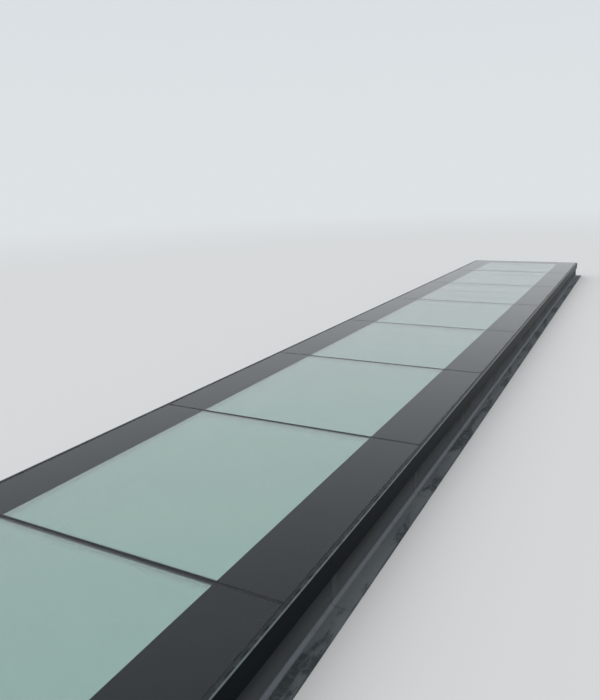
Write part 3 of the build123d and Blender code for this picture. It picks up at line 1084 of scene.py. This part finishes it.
def band_mesh(name, outer_in, inner_in, level):
    # A flat ring between two distances in from the frame's outer face
    mesh = bpy.data.meshes.new(name)
    corners = []
    for inset in (outer_in, inner_in):
        for x, y in ((-1, -1), (1, -1), (1, 1), (-1, 1)):
            corners.append((x * (half_width - inset), y * (half_length - inset), level))
    faces = [(n, (n + 1) % 4, (n + 1) % 4 + 4, n + 4) for n in range(4)]
    mesh.from_pydata(corners, [], faces)
    return mesh


# Grit that rain leaves along the frame's edge and at the foot of the upstand
grit = grit_tree()
grit_material = grit_finish()
grown(
    "edge_grit",
    band_mesh("edge_band", outer_in=0.020, inner_in=0.026, level=glass_top - 0.0018),
    grit,
    {"Density": 6000.0, "Smallest": 0.0008, "Largest": 0.0018, "Seed": 11, "Finish": grit_material},
    grit_material,
)
grown(
    "foot_grit",
    band_mesh("foot_band", outer_in=-0.074, inner_in=-0.003, level=flange_top + 0.0003),
    grit,
    {"Density": 1800.0, "Smallest": 0.001, "Largest": 0.0032, "Seed": 5, "Finish": grit_material},
    grit_material,
)


# Studio: pale floor that fades into a pale backdrop, and a soft dome of light
horizon_tone = (0.725, 0.76, 0.785, 1)
high_tone = (0.63, 0.695, 0.735, 1)
floor_tone = (0.70, 0.70, 0.69, 1)
floor_radius = 400
floor_drop = 0.0006
light_tone = (0.95, 0.975, 1.0, 1)
light_way = (-0.62, 0.10, 0.78)


def studio_floor():
    mesh = bpy.data.meshes.new("studio_floor")
    build = bmesh.new()
    bmesh.ops.create_circle(build, cap_ends=True, segments=96, radius=floor_radius)
    bmesh.ops.translate(build, verts=build.verts, vec=(0, 0, -floor_drop))
    build.to_mesh(mesh)
    build.free()
    floor = bpy.data.objects.new("studio_floor", mesh)
    bpy.context.scene.collection.objects.link(floor)
    surface = bpy.data.materials.new("studio_floor")
    surface.use_nodes = True
    tree = surface.node_tree
    tree.nodes.clear()
    near = tree.nodes.new("ShaderNodeBsdfDiffuse")
    near.inputs["Color"].default_value = floor_tone
    far = tree.nodes.new("ShaderNodeEmission")
    far.inputs["Color"].default_value = horizon_tone
    # The floor fades out at 7 to 30 m from the middle, and farther out along the rooflight
    reading = tree.nodes.new("ShaderNodeTexCoord")
    shortened = stretched(tree, reading.outputs["Object"], (1.0, 0.7, 0.0))
    fade = ramp(tree, vector_arithmetic(tree, "LENGTH", shortened), 7.0, 30.0)
    mix = tree.nodes.new("ShaderNodeMixShader")
    output = tree.nodes.new("ShaderNodeOutputMaterial")
    feed(tree, mix.inputs[0], fade)
    tree.links.new(near.outputs[0], mix.inputs[1])
    tree.links.new(far.outputs[0], mix.inputs[2])
    tree.links.new(mix.outputs[0], output.inputs["Surface"])
    mesh.materials.append(surface)


def studio_light():
    world = bpy.data.worlds.new("studio")
    bpy.context.scene.world = world
    world.use_nodes = True
    tree = world.node_tree
    tree.nodes.clear()
    reading = tree.nodes.new("ShaderNodeTexCoord")
    way = reading.outputs["Generated"]
    rise = split(tree, way)["Z"]
    # What the camera sees, also by mirroring and through the glass
    seen = tree.nodes.new("ShaderNodeBackground")
    feed(tree, seen.inputs["Color"], blended(tree, ramp(tree, rise, 0.02, 0.75), horizon_tone, high_tone))
    # What lights the rooflight: a dome that is brighter on one side
    lit = tree.nodes.new("ShaderNodeBackground")
    lit.inputs["Color"].default_value = light_tone
    key = vector_arithmetic(tree, "DOT_PRODUCT", way, light_way)
    feed(tree, lit.inputs["Strength"], ramp(tree, key, -0.2, 1.0, 0.45, 1.35))
    path = tree.nodes.new("ShaderNodeLightPath")
    shown = arithmetic(tree, "MAXIMUM", path.outputs["Is Camera Ray"], path.outputs["Is Glossy Ray"])
    shown = arithmetic(tree, "MAXIMUM", shown, path.outputs["Is Transmission Ray"])
    mix = tree.nodes.new("ShaderNodeMixShader")
    output = tree.nodes.new("ShaderNodeOutputWorld")
    feed(tree, mix.inputs[0], shown)
    tree.links.new(lit.outputs[0], mix.inputs[1])
    tree.links.new(seen.outputs[0], mix.inputs[2])
    tree.links.new(mix.outputs[0], output.inputs["Surface"])


studio_floor()
studio_light()


# Camera where the photographer stood: place in metres, ways of its right and back, lens in millimetres
camera_place = (1.8983, -6.4533, 1.6577)
camera_right = (0.88516, 0.46451, -0.0269)
camera_back = (0.45667, -0.85621, 0.24156)
film_width = 36.0
lens_length = 32.70


def studio_camera():
    lens = bpy.data.cameras.new("camera")
    lens.sensor_width = film_width
    lens.lens = lens_length
    lens.clip_start = 0.05
    lens.clip_end = 500.0
    camera = bpy.data.objects.new("camera", lens)
    bpy.context.scene.collection.objects.link(camera)
    right = Vector(camera_right).normalized()
    back = Vector(camera_back).normalized()
    up = back.cross(right).normalized()
    turn = Matrix((right, up, back)).transposed().to_4x4()
    camera.matrix_world = Matrix.Translation(camera_place) @ turn
    bpy.context.scene.camera = camera


studio_camera()

scene = bpy.context.scene
scene.view_settings.view_transform = "Standard"
